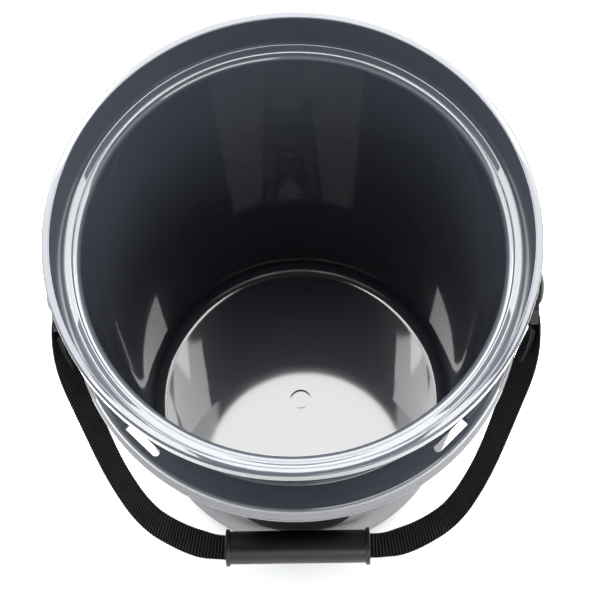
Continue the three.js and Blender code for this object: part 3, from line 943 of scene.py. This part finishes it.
def stitching(side, material):
    """Thread stitches that hold a folded end: short raised dashes on the outer face of the webbing."""
    leg = spline(STRAP_ROUTE, 0.5)
    bm = bmesh.new()
    corners = stitch_path()
    for start, end in zip(corners, corners[1:]):
        a = Vector(start)
        b = Vector(end)
        count = max(1, round((b - a).length / STITCH_PITCH))
        for i in range(count):
            first = a.lerp(b, (i + 0.12) / count)
            last = a.lerp(b, (i + 0.88) / count)
            add_stitch(bm, leg, first, last)
    matrix = HANDLE @ Matrix.Diagonal((side, 1, 1, 1))
    name = "strap_stitching_right" if side > 0 else "strap_stitching_left"
    seam = new_object(name, bm, matrix)
    smooth(seam, 70)
    return finish_piece(seam, "handle", material, "webbing")


def add_stitch(bm, leg, first, last):
    """One stitch: a thin bowed capsule from first to last, dipping into the webbing at both ends."""
    rings = []
    sides = 6
    steps = 6
    for i in range(steps + 1):
        t = i / steps
        across, drop = first.lerp(last, t)
        nearest = min(leg, key=lambda p: abs(p.y - drop))
        bow = math.sin(math.pi * t)
        size = 0.12 + 0.16 * bow
        out = STRAP_THICKNESS / 2 - 0.1 + 0.14 * bow
        direction = (last - first).normalized()
        middle = Matrix.Translation((nearest.x, 0, -drop))
        turn = middle @ Matrix.Rotation(math.radians(nearest.z), 4, "Z")
        ring = []
        for k in range(sides):
            angle = 2 * math.pi * k / sides
            sideways = Vector((-direction.y, direction.x)) * size * math.cos(angle)
            local = Vector((out + size * math.sin(angle), across + sideways.x, -sideways.y))
            ring.append(bm.verts.new(turn @ local))
        rings.append(ring)
    skin(bm, rings)


# ---------------------------------------------------------------- grip


def tube_grip(material):
    """The loose tube on the webbing, with a rounded flange at each end."""
    half = GRIP_LENGTH / 2
    flange = half - FLANGE_LENGTH
    edge = 1.0
    end = [
        (GRIP_RADIUS + 0.5, flange), (FLANGE_RADIUS - 0.5, flange),
        *arc(FLANGE_RADIUS - edge, flange + edge, edge, -30, 0, 2),
        *arc(FLANGE_RADIUS - edge, half - edge, edge, 0, 90, 5),
        *arc(GRIP_BORE + edge, half - edge, edge, 90, 180, 5),
    ]
    start = [(r, -x) for r, x in reversed(end)]
    waist = [(GRIP_RADIUS, -flange + 0.5), (GRIP_RADIUS, flange - 0.5)]
    matrix = HANDLE @ Matrix.Translation((grip_middle.x, 0, -HANDLE_DROP)) @ ALONG_X
    grip = turned("tube_grip", start + waist + end, 96, matrix=matrix)
    smooth(grip)
    return finish_piece(grip, "grip", material, "black_plastic", "handle_grip")


# ---------------------------------------------------------------- camera, floor and lights


def photo_camera():
    """The photograph's view: steeply down into the mouth from the front, turned a little sideways."""
    field_of_view = math.radians(21.2393)
    elevation = math.radians(69.74)
    roll = math.radians(-2.53)
    yaw = math.radians(1.75)
    distance = 6.37 * RIM_RADIUS
    to_right = 0.032 * RIM_RADIUS
    to_below = 0.272 * RIM_RADIUS
    back = Vector((0, -math.cos(elevation), math.sin(elevation)))
    level_up = Vector((0, math.sin(elevation), math.cos(elevation)))
    level_right = Vector((1, 0, 0))
    right = level_right * math.cos(roll) + level_up * math.sin(roll)
    up = level_up * math.cos(roll) - level_right * math.sin(roll)
    rim_middle = Vector((0, 0, RIM_TOP - 1))
    place = rim_middle + back * distance + right * to_right - up * to_below
    data = bpy.data.cameras.new("photo_camera")
    data.angle = field_of_view
    camera = bpy.data.objects.new("photo_camera", data)
    matrix = Matrix((right, up, back)).transposed().to_4x4()
    matrix.translation = place * MM
    camera.matrix_world = Matrix.Rotation(yaw, 4, "Z") @ matrix
    bpy.context.scene.collection.objects.link(camera)
    bpy.context.scene.camera = camera


def pale_floor():
    """A wide matt floor, which is not attached to the bucket."""
    bm = bmesh.new()
    bmesh.ops.create_grid(bm, x_segments=1, y_segments=1, size=6000)
    floor = new_object("floor", bm)
    n = Nodes("floor_paint")
    place = n.position()[0]
    tone = n.noise(place, 0.004, 3.0)
    n.surface(Base_Color=n.mix(tone, (0.66, 0.66, 0.66, 1), (0.68, 0.68, 0.68, 1)), Roughness=0.9)
    floor.data.materials.append(n.material)


def softbox(name, place, target, width, height, brightness, shape="RECTANGLE"):
    """A soft light at place, in metres, facing target; brightness 1 is the white of the picture."""
    area = width * height * (math.pi / 4 if shape == "DISK" else 1)
    data = bpy.data.lights.new(name, "AREA")
    data.shape = shape
    data.size = width
    data.size_y = height
    data.energy = brightness * math.pi * area
    light = bpy.data.objects.new(name, data)
    light.location = place
    light.rotation_euler = (Vector(target) - Vector(place)).to_track_quat("-Z", "Y").to_euler()
    bpy.context.scene.collection.objects.link(light)


def overhead(name, x, y, width, depth, brightness, shape="RECTANGLE"):
    """A softbox that faces straight down; x and y are its middle."""
    softbox(name, (x, y, LIGHT_HEIGHT_M), (x, y, 0), width, depth, brightness, shape)


def surroundings():
    """A cool white room, bright up to 37 degrees above the horizon and dark from 55 degrees up."""
    world = bpy.data.worlds.new("studio")
    world.use_nodes = True
    nodes = world.node_tree.nodes
    links = world.node_tree.links
    background = nodes["Background"]
    background.inputs["Color"].default_value = (0.93, 0.965, 1, 1)
    direction = nodes.new("ShaderNodeTexCoord").outputs["Generated"]
    split = nodes.new("ShaderNodeSeparateXYZ")
    fade = nodes.new("ShaderNodeMapRange")
    levels = {"From Min": 0.6, "From Max": 0.82, "To Min": 1.6, "To Max": 0.15}
    for socket, value in levels.items():
        fade.inputs[socket].default_value = value
    links.new(direction, split.inputs[0])
    links.new(split.outputs["Z"], fade.inputs["Value"])
    links.new(fade.outputs[0], background.inputs["Strength"])
    bpy.context.scene.world = world


def studio():
    """Softboxes, each placed by what the glossy plastic mirrors towards the camera."""
    bpy.context.scene.view_settings.view_transform = "Standard"
    # The round light on the bucket's floor.
    overhead("key", -0.015, 0.475, 0.424, 0.424, 14, "DISK")
    # The label, the shelf and the grip.
    softbox("front", (1.1, -2.0, 1.6), (0, 0, 0.1), 2.0, 1.0, 7)
    # The rim and ledge at the back.
    softbox("back", (0, 1.72, 1.65), (0, 1.05, 0.36), 2.0, 1.97, 10.5)
    for side, word in ((1, "right"), (-1, "left")):
        # The rim and ledge at the sides.
        softbox("side_" + word, (side * 1.375, 0.9, 1.75), (side * 0.89, 0.9, 0.33), 1.3, 2.17, 10)
        # The floor's sides, by way of the wall.
        overhead("shoulder_" + word, side * 0.32, 0.27, 0.24, 0.32, 13)
        # The floor between its sides and the round light.
        overhead("strip_" + word, side * 0.25 - 0.01, 0.58, 0.11, 0.32, 4)


photo_camera()
pale_floor()
surroundings()
studio()

plastic = bucket_plastic()
film = label_film()
satin = black_plastic()
stitches = thread()

bucket_body(plastic)
wall_label(film)
trim_strip("trim_strip_front", 0, "collar_band_front", film)
trim_strip("trim_strip_rear", 180, "collar_band_rear", film)
for side, word in ((1, "right"), (-1, "left")):
    pivot_pin(side, "pivot_pin_" + word, satin)
    strap_link(side, "strap_link_" + word, satin)
    stitching(side, stitches)
handle_strap(black_webbing())
tube_grip(satin)
